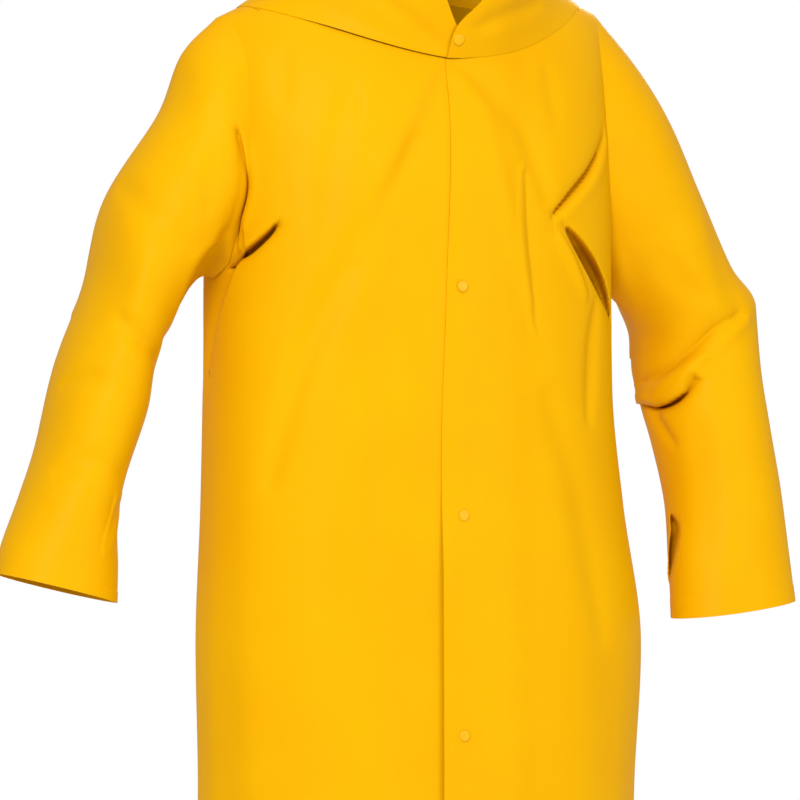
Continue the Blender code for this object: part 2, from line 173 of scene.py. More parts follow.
@dataclass(frozen=True)
class Fold:
    """One fold: a route over the cloth, with its depth and half width, all in millimetres.

    toward is the side that the fold faces, or for a slit the way that its pocket runs. lip is the
    height of its crest as a share of the depth, slide is how far the cloth is pulled over the line,
    and blunt is how much of the route is cut off at each end, where the fold dies away.
    """

    route: tuple
    depth: float
    width: float
    shape: FoldShape = FoldShape.TROUGH
    lip: float = 0.0
    toward: tuple = (0.0, 0.0, 1.0)
    slide: float = 0.0
    blunt: float = 0.06

    def move(self, points: Array, normals: Array) -> Array:
        """How the fold moves the cloth.

        Args:
            points: places on the smooth cloth, one row each.
            normals: outward directions there.

        Returns:
            The move at each place: out or in, and a slide over the line on the side that it faces.
        """
        line = self.curve()
        depth, width, slide = self.depth / MM, self.width / MM, self.slide / MM
        reach = REACH.get(self.shape, SOFT_REACH) * width
        near = np.all((points > line.min(axis=0) - reach) & (points < line.max(axis=0) + reach), axis=1)
        result = np.zeros_like(points)
        spots = points[near]
        if not len(spots):
            return result
        best, along, across = np.full(len(spots), np.inf), np.zeros(len(spots)), np.zeros((len(spots), 3))
        for i, (start, end) in enumerate(zip(line, line[1:])):
            step = end - start
            share = np.clip((spots - start) @ step / (step @ step), 0.0, 1.0)
            away = spots - start - share[:, None] * step
            distance = np.linalg.norm(away, axis=1)
            closer = distance < best
            best[closer] = distance[closer]
            along[closer] = (i + share[closer]) / (len(line) - 1)
            across[closer] = away[closer]
        turn = math.pi * np.clip(self.blunt + (1.0 - 2.0 * self.blunt) * along, 0.0, 1.0)
        taper = np.sin(turn) ** END_POWER
        least = LEAST_WIDTH.get(self.shape, SOFT_WIDTH)
        x = best / (width * (least + (1.0 - least) * taper))
        ahead = across @ np.asarray(self.toward) > 0.0
        height = depth * np.sqrt(taper) * self.section(x, ahead)
        if self.shape is FoldShape.SLIT:
            result[near] = -np.asarray(self.toward) * height[:, None]
            return result
        pull = np.where(ahead, slide, 0.0) * taper * np.minimum(x / SLIDE_FROM, 1.0)
        pull = pull * np.exp(-((x / SLIDE_FADE) ** 2))
        result[near] = normals[near] * height[:, None] - unit(across) * pull[:, None]
        return result

    def section(self, x: Array, ahead: Array) -> Array:
        """The fold's cross-section.

        Args:
            x: distance from the route in half widths.
            ahead: whether the place lies on the side that the fold faces.

        Returns:
            The height, as a share of the fold's depth.
        """
        if self.shape is FoldShape.RIDGE:
            return np.exp(-(x**2))
        if self.shape is FoldShape.TROUGH:
            return -np.exp(-(x**2))
        if self.shape is FoldShape.SLIT:
            return -(1.0 - ease((x - SLIT_FLOOR) / SLIT_WALL))
        if self.shape is FoldShape.TUCK:
            fall = (1.0 - np.exp(-((x / TUCK_EDGE) ** 2))) * (1.0 - ease((x - TUCK_HOLD) / TUCK_RETURN))
            return np.where(ahead, -fall, 0.0)
        crest = self.lip * np.exp(-(((x - LIP_AT) / LIP_WIDTH) ** 2))
        return np.where(ahead, crest - np.exp(-STEEP * x), -np.exp(-GENTLE * x))

    def curve(self) -> Array:
        """The route as a smooth line.

        Returns:
            Points in metres, ROUTE_STEPS between each two that the route names.
        """
        keys = np.asarray(self.route, float) / MM
        at = np.linspace(0.0, 1.0, ROUTE_STEPS * (len(keys) - 1) + 1)
        return np.stack([smooth(tuple(keys[:, axis]), at) for axis in range(3)], axis=-1)


T, R, C, K, S = FoldShape.TROUGH, FoldShape.RIDGE, FoldShape.CREASE, FoldShape.TUCK, FoldShape.SLIT
LEFT_WARD, RIGHT_WARD, DOWN, UP = (1.0, 0.0, 0.0), (-1.0, 0.0, 0.0), (0.0, 0.0, -1.0), (0.0, 0.0, 1.0)
INWARD, INTO_CHEST, ROUND_SIDE = (0.40, 0.917, 0.0), (-0.45, 0.89, 0.0), (-0.5, 0.86, 0.0)

CHEST_FOLDS = (
    Fold(((-50, -140, -190), (-101, -140, -274), (-150, -127, -369), (-180, -113, -447), (-208, -94, -569)),
         6, 18, T),
    Fold(((-122, -122, -130), (-149, -124, -225), (-155, -124, -310)), 3, 18, T),
    Fold(((-19, -134, -122), (-47, -141, -179), (-68, -147, -313), (-88, -146, -480), (-100, -146, -658)),
         5, 24, T),
    Fold(((-28, -132, -112), (-58, -138, -168), (-95, -141, -245), (-122, -137, -320)), 4, 16, R),
    Fold(((8, -133, -106), (59, -138, -148), (84, -137, -175), (112, -137, -250)), 5, 17, T),
    Fold(((6, -137, -118), (32, -142, -160), (50, -149, -240), (87, -145, -367)), 3.5, 15, R),
    Fold(((83, -143, -225), (86, -145, -300), (96, -143, -395)), 3.5, 7, C, lip=0.5, toward=RIGHT_WARD),
    Fold(((112, -140, -480), (149, -133, -571), (169, -131, -662), (185, -129, -745)), 4.5, 22, T),
    Fold(((-112, -124, -135), (-115, -128, -172)), 1.6, 5, C, lip=0.4, toward=LEFT_WARD),
    Fold(((-186, -80, -92), (-190, -89, -145)), 2.2, 14, T),
    Fold(((123, -115, -105), (129, -122, -156)), 2.2, 14, T),
)
ARMPIT_FOLDS = (
    Fold(((-237, -74, -180), (-230, -71, -218), (-226, -66, -246), (-230, -59, -273), (-236, -45, -305)),
         13, 6.5, C, lip=0.1, toward=LEFT_WARD, slide=3, blunt=0.1),
    Fold(((-230, -71, -216), (-226, -66, -246), (-230, -59, -273), (-235, -48, -300)), 26, 3, S,
         toward=INWARD, blunt=0.04),
    Fold(((-200, -96, -283), (-208, -89, -294), (-223, -70, -313), (-231, -55, -320), (-241, -26, -330)),
         12, 7, C, lip=0.08, toward=UP, slide=3, blunt=0.12),
    Fold(((-203, -94, -284), (-211, -87, -296), (-223, -70, -311), (-232, -52, -321), (-241, -24, -331)),
         34, 4.6, S, toward=INWARD, blunt=0.04),
    Fold(((-228, -62, -316), (-236, -45, -345), (-241, -20, -390), (-243, 5, -450)), 17, 10, K,
         toward=ROUND_SIDE, blunt=0.03),
    Fold(((214, -80, -178), (203, -89, -195), (180, -109, -222), (154, -123, -244), (123, -135, -271)), 11,
         8.5, C, lip=0.1, toward=LEFT_WARD, blunt=0.1),
    Fold(((203, -89, -195), (180, -109, -222), (154, -123, -244), (127, -134, -267)), 23, 4.2, S,
         toward=INTO_CHEST, blunt=0.05),
    Fold(((138, -130, -281), (160, -121, -304), (185, -108, -333), (205, -90, -358), (222, -70, -385)), 7,
         13, C, lip=0.06, toward=LEFT_WARD, slide=2, blunt=0.1),
    Fold(((144, -129, -287), (164, -120, -308), (187, -106, -334), (207, -88, -360), (224, -66, -386)), 46,
         10.8, S, toward=INWARD, blunt=0.03),
    Fold(((164, -120, -308), (187, -106, -334), (207, -88, -360), (216, -78, -374)), 14, 11, S,
         toward=INWARD, blunt=0.03),
    Fold(((130, -134, -296), (148, -128, -324), (168, -118, -360)), 5.5, 7.5, R),
    Fold(((190, -106, -372), (182, -112, -410), (178, -115, -450), (174, -118, -500)), 5, 13, T),
)
LEFT_ARM_FOLDS = (
    Fold(((306, 28, -460), (320, -21, -446), (341, -45, -423), (367, -58, -398), (405, -55, -378)), 10, 11,
         C, lip=0.25, toward=DOWN, blunt=0.1),
    Fold(((312, 40, -484), (314, 0, -489), (321, -27, -484), (331, -43, -472), (344, -50, -454)), 19, 7, C,
         lip=0.2, toward=UP, slide=4.5, blunt=0.15),
    Fold(((313, 20, -487), (315, -4, -488), (321, -27, -483), (332, -43, -470)), 24, 4, S, toward=INWARD,
         blunt=0.04),
    Fold(((318, -10, -468), (333, -38, -447), (355, -52, -428)), 6, 9, R),
    Fold(((312, 11, -486), (316, -5, -503), (326, -31, -530)), 5, 9, T),
    Fold(((320, -24, -612), (325, -40, -636), (320, -40, -664), (315, -30, -700)), 34, 10, S, toward=INWARD,
         blunt=0.03),
    Fold(((372, -52, -250), (385, -57, -330), (402, -56, -372)), 2.5, 20, T),
    Fold(((347, -62, -520), (352, -69, -580), (345, -84, -660)), 3, 22, T),
    Fold(((296, -50, -300), (322, -60, -340), (352, -63, -360)), 3.5, 16, T),
)
RIGHT_ARM_FOLDS = (
    Fold(((-318, -40, -404), (-318, 5, -412), (-322, 45, -404)), 8, 12, T),
    Fold(((-352, -40, -590), (-356, 0, -588), (-358, 40, -580)), 6, 10, T),
    Fold(((-374, -62, -390), (-354, -71, -412), (-322, -45, -432)), 6, 13, T),
    Fold(((-440, -53, -557), (-412, -72, -548), (-372, -60, -560)), 4.5, 16, T),
    Fold(((-353, -10, -240), (-338, -61, -275), (-296, -74, -312)), 4.5, 18, T),
    Fold(((-263, -66, -150), (-268, -77, -214), (-276, -77, -269)), 3.5, 14, T),
    Fold(((-347, -70, -330), (-358, -67, -381), (-367, -69, -425)), 3, 16, R),
    Fold(((-422, -20, -462), (-404, -50, -455), (-366, -60, -478)), 4.5, 12, T),
    Fold(((-372, -30, -592), (-382, -52, -604), (-398, -62, -640)), 5, 10, C, lip=0.3, toward=LEFT_WARD),
)
BACK_FOLDS = (
    Fold(((236, 50, -325), (205, 90, -292), (160, 112, -252)), 12, 8.5, C, lip=0.2),
    Fold(((-236, 50, -325), (-212, 86, -300), (-172, 108, -268)), 9.5, 8.5, C, lip=0.2),
    Fold(((150, 115, -290), (185, 100, -335), (214, 80, -380)), 9, 10, C, lip=0.1),
    Fold(((-90, 112, -90), (-125, 118, -180), (-150, 118, -330), (-160, 118, -500)), 10.9, 26, T),
    Fold(((80, 112, -85), (112, 120, -190), (138, 120, -350), (150, 120, -560)), 13, 28, T),
    Fold(((-20, 110, -60), (-34, 120, -200), (-40, 128, -420)), 8, 26, T),
    Fold(((30, 112, -70), (44, 124, -240), (52, 130, -480), (60, 136, -720)), 6.5, 26, R),
    Fold(((-180, 110, -560), (-172, 120, -740), (-168, 128, -960)), 14.5, 34, T),
    Fold(((-80, 130, -640), (-86, 138, -860), (-92, 144, -1195)), 11.6, 36, T),
    Fold(((70, 132, -800), (76, 140, -1000), (82, 146, -1198)), 11.6, 34, T),
    Fold(((170, 118, -640), (178, 126, -860), (186, 130, -1100)), 14.5, 34, T),
    Fold(((330, 60, -430), (372, 98, -420), (412, 78, -395)), 6, 12, C, lip=0.3),
    Fold(((-345, 60, -420), (-375, 92, -405), (-400, 60, -385)), 5, 13, C, lip=0.3),
    Fold(((300, 60, -230), (340, 90, -270), (366, 70, -330)), 6.5, 18, T),
    Fold(((-300, 60, -200), (-330, 90, -250), (-352, 70, -300)), 6.5, 18, T),
)
HOOD_FOLDS = (
    Fold(((-85, -125, -34), (-56, -133, -56), (-22, -133, -79)), 3.5, 10, T),
    Fold(((24, -144, -62), (65, -138, -46), (116, -108, -30)), 4.5, 11, T),
    Fold(((120, 20, -5), (132, 50, 60), (120, 80, 130)), 4.5, 14, T),
    Fold(((-124, 15, -5), (-134, 45, 50), (-124, 75, 120)), 4, 14, T),
    Fold(((60, 105, 30), (20, 120, 60), (-50, 112, 45)), 4, 14, T),
    Fold(((126, -60, 60), (126, -20, 120), (112, 30, 180)), 3.5, 16, T),
    Fold(((-126, -60, 50), (-124, -20, 130), (-108, 20, 200)), 3.5, 16, T),
)
FOLDS = CHEST_FOLDS + ARMPIT_FOLDS + LEFT_ARM_FOLDS + RIGHT_ARM_FOLDS + BACK_FOLDS + HOOD_FOLDS


@dataclass(frozen=True)
class Ripples:
    """Faint upright bands in the hanging skirt, uneven in spacing and depth."""

    depth: float = 0.0016
    start_z: float = -0.35
    full_z: float = -0.95
    waves: tuple = ((19.0, 0.4, 1.0), (31.0, 2.1, 0.6), (53.0, 4.4, 0.35))
    flatness: float = 1.6
    slant: float = 1.7
    rate_scale: float = 0.36

    def height(self, points: Array) -> Array:
        """How far the cloth moves out at each point.

        Args:
            points: places on the smooth cloth, one row each.

        Returns:
            The height at each place.
        """
        around = np.arctan2(points[:, 0], -points[:, 1] * self.flatness)
        drift = points[:, 2] * self.slant
        total = np.zeros(len(points))
        for rate, phase, share in self.waves:
            total += share * np.sin(rate * self.rate_scale * around + phase + drift)
        gate = ease((self.start_z - points[:, 2]) / (self.start_z - self.full_z))
        return self.depth * gate * total


RIPPLES = Ripples()


# ---------------------------------------------------------------------------------------------
# The body's form
# ---------------------------------------------------------------------------------------------
@dataclass(frozen=True)
class BodyForm:
    """The outer form of the coat's body, with its neck seam and armholes."""

    hem_z: float = -1.200
    armpit_z: float = -0.340
    section_power: float = 2.35
    shoulder_power: float = 2.5
    ridge_top: float = 0.0706
    ridge_slope: float = 0.45
    ridge_round: float = 0.060
    ridge_tilt: float = 0.042
    section_z: tuple = (-0.340, -0.470, -0.600, -0.760, -0.940, -1.200)
    half_width: tuple = (0.243, 0.244, 0.252, 0.266, 0.260, 0.270)
    front_depth: tuple = (0.150, 0.152, 0.154, 0.157, 0.158, 0.163)
    back_depth: tuple = (0.130, 0.130, 0.133, 0.139, 0.143, 0.150)
    centre_x: tuple = (0.000, 0.000, 0.005, 0.013, 0.009, 0.005)
    neck_half: float = 0.208
    neck_front_z: float = -0.097
    neck_back_z: float = -0.005
    shoulder_tip: float = 0.236
    hole_climb: tuple = (0.0, 4.0, 12.0, 27.0, 50.0, 70.0, 90.0)
    hole_front: tuple = (90.0, 82.0, 73.5, 66.0, 65.0, 69.0, 76.2)
    hole_back: tuple = (90.0, 83.0, 76.0, 70.0, 69.0, 71.0, 76.2)
    lap_z: tuple = (-0.090, -0.350, -0.600, -0.760, -0.940, -1.200)
    lap_over: tuple = (0.010, 0.018, 0.030, 0.036, 0.033, 0.030)
    under_lap: float = 0.028
    lap_lift: float = 0.0030
    lap_flat: float = 0.050
    lap_end: float = 0.095
    armpit_row: float = 0.45
    neck_column: float = 10 / 11
    ridge_crowd: float = 1.5
    left_neck_curve: float = 1.95
    right_neck_curve: float = 1.60
    back_neck_curve: float = 3.0
    probe: float = 2e-3

    def ridge_rise(self, x: Array) -> Array:
        """Height of the shoulder ridge above the armpit."""
        slope = self.ridge_slope * np.sqrt(x**2 + self.ridge_round**2)
        return self.ridge_top - slope + self.ridge_tilt * x - self.armpit_z

    def point(self, theta: Array, level: Array) -> Array:
        """Places on the body.

        Args:
            theta: angle round from the front centre by the wearer's left.
            level: -1 at the hem, 0 at the armpit, 1 on the shoulder ridge, more beyond it.

        Returns:
            The points, one row each.
        """
        over = level > 1.0
        theta = np.where(over, math.pi - theta, theta)
        level = np.where(over, 2.0 - level, level)
        low = self.armpit_z + np.minimum(level, 0.0) * (self.armpit_z - self.hem_z)
        across = np.sin(theta)
        x = smooth(self.half_width, low, self.section_z) * across
        rise = np.sin(np.maximum(level, 0.0) * math.pi / 2)
        front = smooth(self.front_depth, low, self.section_z)
        back = smooth(self.back_depth, low, self.section_z)
        depth = np.where(np.cos(theta) > 0, -front, back)
        y = depth * rounded(across, self.section_power) * rounded(rise, self.shoulder_power)
        centre = smooth(self.centre_x, low, self.section_z)
        return np.stack([x + centre, y, low + rise * self.ridge_rise(x)], axis=-1)

    def normal(self, theta: Array, level: Array) -> Array:
        """Outward directions on the body.

        Args:
            theta: angles, as for point.
            level: levels, as for point.

        Returns:
            One direction for each place, of length one.
        """
        along = self.point(theta + self.probe, level) - self.point(theta - self.probe, level)
        up = self.point(theta, level + self.probe) - self.point(theta, level - self.probe)
        return unit(np.cross(along, up))

    def neck_seam(self, beta: Array, side: int) -> tuple:
        """Body angle and level of the neck seam.

        Args:
            beta: angle round the neck, from the front centre to the nape.
            side: 1 for the wearer's left, -1 for the right; the seam climbs later on the left.

        Returns:
            The angles and the levels.
        """
        climb = self.left_neck_curve if side > 0 else self.right_neck_curve
        x = self.neck_half * np.sin(beta)
        low_front = (self.neck_front_z - self.armpit_z) / self.ridge_rise(0.0)
        low_back = (self.neck_back_z - self.armpit_z) / self.ridge_rise(0.0)
        share = np.clip(np.abs(x) / self.neck_half, 0.0, 1.0)
        front = low_front + (1.0 - low_front) * share**climb
        back = low_back + (1.0 - low_back) * share**self.back_neck_curve
        rise = np.clip(np.where(np.cos(beta) > 0, front, back), 0.0, 1.0)
        theta = np.arcsin(np.clip(x / self.half_width[0], -1.0, 1.0))
        theta = np.where(np.cos(beta) > 0, theta, math.pi - theta)
        return theta, np.arcsin(rise) / (math.pi / 2)

    def lap(self, z: Array, side: int) -> Array:
        """How far a front edge reaches past the centre line."""
        return smooth(self.lap_over, z, self.lap_z) if side > 0 else self.under_lap + 0.0 * z

    def lift(self, points: Array, side: int) -> Array:
        """How far the buttoning side stands off the body near the front centre.

        Args:
            points: places on the body.
            side: 1 for the wearer's left, -1 for the right, which isn't lifted.

        Returns:
            The height at each place, as a column.
        """
        near = 1.0 - ease((points[..., 0] - self.lap_flat) / (self.lap_end - self.lap_flat))
        return (self.lap_lift * near * (points[..., 1] < 0.0) * (side > 0))[..., None]

    def crowd(self, share: Array) -> Array:
        """Shares along the neck seam, closer together towards the shoulder ridge."""
        return 1.0 - (1.0 - np.clip(share, 0.0, 1.0)) ** self.ridge_crowd

    def panel(self, s: Array, v: Array, side: int, is_back: bool) -> tuple:
        """Body angle and level on a panel.

        Args:
            s: 0 at the centre edge to 1 at the side.
            v: 0 at the top to 1 at the hem.
            side: 1 for the wearer's left, -1 for the right.
            is_back: whether it is the back panel.

        Returns:
            The angles and the levels.
        """
        up = np.clip(1.0 - v / self.armpit_row, 0.0, 1.0)
        below = np.clip((v - self.armpit_row) / (1.0 - self.armpit_row), 0.0, 1.0)
        edge = self.hole_back if is_back else self.hole_front
        hole = np.radians(smooth(edge, 90.0 * up, self.hole_climb))
        z = self.neck_front_z + (self.armpit_z - self.neck_front_z) * (1.0 - up)
        z = z + (self.hem_z - self.armpit_z) * below
        lap = 0.0 * v if is_back else self.lap(z, side)
        top_lap = 0.0 if is_back else float(self.lap(np.array(self.neck_front_z), side))
        first = math.asin(-top_lap / self.neck_half)
        beta = first + (math.pi / 2 - first) * self.crowd(s / self.neck_column)
        past = np.maximum((s - self.neck_column) / (1.0 - self.neck_column), 0.0)
        top_x = self.neck_half * np.sin(beta) + past * (self.shoulder_tip - self.neck_half)
        half = self.half_width[0]
        _, top_level = self.neck_seam(math.pi - beta if is_back else beta, side)
        start = -lap / half
        low_share = (start + (hole - start) * s) / hole
        share = np.arcsin(top_x / half) / math.asin(self.shoulder_tip / half)
        share = share + (low_share - share) * ease(v / self.armpit_row)
        return share * hole, np.where(v < self.armpit_row, top_level * up, -below)

    def armhole(self, psi: Array, side: int) -> tuple:
        """An armhole's edge.

        Args:
            psi: share of the way round from the armpit, front first.
            side: 1 for the wearer's left, -1 for the right.

        Returns:
            The points, and the outward directions there.
        """
        up = 90.0 * (1.0 - np.abs(2.0 * psi - 1.0))
        in_front = psi <= 0.5
        front = smooth(self.hole_front, up, self.hole_climb)
        back = smooth(self.hole_back, up, self.hole_climb)
        theta = np.radians(np.where(in_front, front, 180.0 - back)) * side
        return self.point(theta, up / 90.0), self.normal(theta, up / 90.0)


BODY = BodyForm()


# ---------------------------------------------------------------------------------------------
# Cloth pieces
# ---------------------------------------------------------------------------------------------
@dataclass
class ClothPiece:
    """A piece of coated cloth cut, folded and given its thickness."""

    name: str
    node: str
    columns: int
    rows: int
    cut: tuple
    cut_area: float
    side: int = 1
    is_tube: bool = False
    thickness: float = 0.0008
    hem_width: float = 0.020
    hem_step: float = 0.0005
    hem_turn: float = 0.003

    def face(self, u: Array, v: Array) -> tuple:
        """Smooth outer points and outward directions at the piece's own coordinates."""
        raise NotImplementedError

    def trim(self, u: Array, v: Array, points: Array) -> Array:
        """How far hems, laps and overlapping edges stand off the smooth form."""
        raise NotImplementedError

    def hem(self, distance: Array) -> Array:
        """Height of a welded hem at a distance from its edge."""
        return self.hem_step * (1.0 - ease((distance - self.hem_width) / self.hem_turn))

    def build(self) -> bpy.types.Object:
        """Make the sheet, bend it by its folds and thicken it.

        Returns:
            The finished object, at the origin.
        """
        bm = bmesh.new()
        bmesh.ops.create_grid(bm, x_segments=self.columns, y_segments=self.rows, size=0.5)
        spots = np.array([vert.co[:2] for vert in bm.verts])
        u, v = np.clip(spots + 0.5, 0.0, 1.0).T
        points, normals = self.face(u, v)
        height = self.trim(u, v, points) + RIPPLES.height(points)
        moved = points + normals * height[:, None]
        for fold in FOLDS:
            moved = moved + fold.move(points, normals)
        for vert, spot in zip(bm.verts, moved):
            vert.co = spot
        bm.normal_update()
        bm.faces.ensure_lookup_table()
        middle = bm.faces[len(bm.faces) // 2]
        if normals[middle.verts[0].index] @ np.array(middle.normal) < 0.0:
            bmesh.ops.reverse_faces(bm, faces=bm.faces[:])
        if self.is_tube:
            bmesh.ops.remove_doubles(bm, verts=bm.verts[:], dist=WELD)
        for edge in bm.edges:
            edge.smooth = not edge.is_boundary
        piece = place(self.name, bm)
        wall = piece.modifiers.new("wall", "SOLIDIFY")
        wall.thickness = self.thickness
        wall.offset = -1.0
        return piece

    def dress(self, piece: bpy.types.Object, material: bpy.types.Material) -> None:
        """Give the piece its finish and say what it is.

        Args:
            piece: the built object.
            material: the cloth's material.
        """
        piece.data.materials.append(material)
        for polygon in piece.data.polygons:
            polygon.use_smooth = True
        area = sum(polygon.area for polygon in piece.data.polygons)
        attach(piece, "root")
        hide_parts(self.node)
        LOG.info("%s: %.3f m2 of cloth", self.name, area)


@dataclass
class FrontPanel(ClothPiece):
    """One front panel; the wearer's left one laps over the right."""

    panel_width: float = 0.31
    open_from: float = -0.560
    open_full: float = -0.680
    pressed: float = 0.0029
    press_width: float = 0.011
    sunk: float = 0.0010
    sink_from: float = 0.003
    sink_width: float = 0.004
    curl: float = 0.0030
    curl_width: float = 0.014

    def face(self, u: Array, v: Array) -> tuple:
        """The smooth outer face, before hems and folds.

        Args:
            u: shares across the piece.
            v: shares down the piece, or up the hood.

        Returns:
            The points, and the outward directions there.
        """
        theta, level = BODY.panel(u, v, self.side, False)
        normals = BODY.normal(self.side * theta, level)
        points = BODY.point(self.side * theta, level)
        return points + normals * BODY.lift(points, self.side), normals

    def trim(self, u: Array, v: Array, points: Array) -> Array:
        """How far hems, laps and overlapping edges stand off the smooth form.

        Args:
            u: shares across the piece.
            v: shares down the piece, or up the hood; not used here.
            points: the smooth points there.

        Returns:
            The height at each place.
        """
        edge = u * self.panel_width
        height = self.hem(points[:, 2] - BODY.hem_z)
        open_share = ease((self.open_from - points[:, 2]) / (self.open_from - self.open_full))
        if self.side < 0:
            past_lap = points[:, 0] + BODY.lap(points[:, 2], 1) + self.sink_from
            return height - self.sunk * ease(past_lap / self.sink_width) * (1.0 - open_share)
        pressed = -self.pressed * np.exp(-((edge / self.press_width) ** 2)) * (1.0 - open_share)
        curled = self.curl * np.exp(-((edge / self.curl_width) ** 2)) * open_share
        return height + pressed + curled


@dataclass
class BackPanel(ClothPiece):
    """The back, cut in one piece."""

    def face(self, u: Array, v: Array) -> tuple:
        """The smooth outer face, before hems and folds.

        Args:
            u: shares across the piece.
            v: shares down the piece, or up the hood.

        Returns:
            The points, and the outward directions there.
        """
        across = 2.0 * u - 1.0
        side = np.where(across < 0.0, 1.0, -1.0)
        theta, level = BODY.panel(np.abs(across), v, 1, True)
        theta = math.pi - side * theta
        return BODY.point(theta, level), BODY.normal(theta, level)

    def trim(self, u: Array, v: Array, points: Array) -> Array:
        """How far hems, laps and overlapping edges stand off the smooth form."""
        return self.hem(points[:, 2] - BODY.hem_z)


@dataclass(frozen=True)
class SleeveForm:
    """Rings of a sleeve by their outer and inner points in front view, armhole to cuff."""

    outer_x: tuple
    outer_z: tuple
    inner_x: tuple
    inner_z: tuple
    y: tuple
    depth: tuple
    blend: float = 0.42

    def rings(self, psi: Array, t: Array, side: int) -> Array:
        """Points of the sleeve's own rings, before the armhole's shape is blended in.

        Args:
            psi: share of the way round from the inner side, front first.
            t: share of the way from the armhole to the cuff.
            side: 1 for the wearer's left, -1 for the right.

        Returns:
            The points.
        """
        along = 0.5 - 0.5 * np.cos(2.0 * math.pi * psi)
        inner_x, inner_z = smooth(self.inner_x, t), smooth(self.inner_z, t)
        x = inner_x + (smooth(self.outer_x, t) - inner_x) * along
        z = inner_z + (smooth(self.outer_z, t) - inner_z) * along
        y = smooth(self.y, t) - smooth(self.depth, t) * np.sin(2.0 * math.pi * psi)
        return np.stack([side * x, y, z], axis=-1)

    def points(self, psi: Array, t: Array, side: int) -> Array:
        """Outer points of the sleeve, which starts on the armhole.

        Args:
            psi: share of the way round from the armpit, front first.
            t: share of the way from the armhole to the cuff.
            side: 1 for the wearer's left, -1 for the right.

        Returns:
            The points.
        """
        start, _ = BODY.armhole(psi, side)
        fade = 1.0 - ease(t / self.blend)
        drift = start - self.rings(psi, 0.0 * t, side)
        return self.rings(psi, t, side) + drift * fade[..., None]


RIGHT_SLEEVE = SleeveForm(
    outer_x=(0.236, 0.275, 0.299, 0.359, 0.382, 0.420, 0.445, 0.4675, 0.494, 0.503),
    outer_z=(-0.049, -0.090, -0.155, -0.250, -0.345, -0.440, -0.530, -0.585, -0.640, -0.671),
    inner_x=(0.243, 0.260, 0.270, 0.297, 0.316, 0.324, 0.352, 0.363, 0.365, 0.369),
    inner_z=(-0.340, -0.358, -0.372, -0.405, -0.450, -0.495, -0.567, -0.615, -0.665, -0.705),
    y=(0.000, 0.002, 0.005, 0.010, 0.012, 0.008, 0.000, -0.008, -0.020, -0.030),
    depth=(0.074, 0.085, 0.088, 0.087, 0.084, 0.081, 0.076, 0.070, 0.062, 0.057),
)
LEFT_SLEEVE = SleeveForm(
    outer_x=(0.236, 0.292, 0.333, 0.372, 0.416, 0.452, 0.453, 0.459, 0.466, 0.467, 0.466),
    outer_z=(-0.029, -0.090, -0.150, -0.230, -0.315, -0.365, -0.440, -0.510, -0.590, -0.660, -0.715),
    inner_x=(0.243, 0.260, 0.276, 0.296, 0.310, 0.308, 0.312, 0.320, 0.326, 0.319, 0.315),
    inner_z=(-0.340, -0.358, -0.370, -0.388, -0.412, -0.445, -0.486, -0.530, -0.600, -0.670, -0.735),
    y=(0.000, 0.004, 0.010, 0.018, 0.024, 0.022, 0.010, -0.003, -0.022, -0.042, -0.058),
    depth=(0.074, 0.085, 0.090, 0.090, 0.086, 0.082, 0.079, 0.076, 0.068, 0.060, 0.057),
)


@dataclass
class Sleeve(ClothPiece):
    """One sleeve, a bent tube sewn round its armhole."""

    form: SleeveForm = LEFT_SLEEVE
    length: float = 0.62

    def face(self, u: Array, v: Array) -> tuple:
        """The smooth outer face, before hems and folds.

        Args:
            u: shares across the piece.
            v: shares down the piece, or up the hood.

        Returns:
            The points, and the outward directions there.
        """
        ahead = self.form.points((u + PROBE) % 1.0, v, self.side)
        behind = self.form.points((u - PROBE) % 1.0, v, self.side)
        low = np.maximum(v - PROBE, 0.0)
        down = self.form.points(u, v + PROBE, self.side) - self.form.points(u, low, self.side)
        normals = unit(np.cross(down, ahead - behind)) * self.side
        _, seam = BODY.armhole(u, self.side)
        share = (1.0 - ease(v / SEAM_SHARE))[..., None]
        return self.form.points(u, v, self.side), unit(seam * share + normals * (1.0 - share))

    def trim(self, u: Array, v: Array, points: Array) -> Array:
        """How far hems, laps and overlapping edges stand off the smooth form."""
        return self.hem((1.0 - v) * self.length)


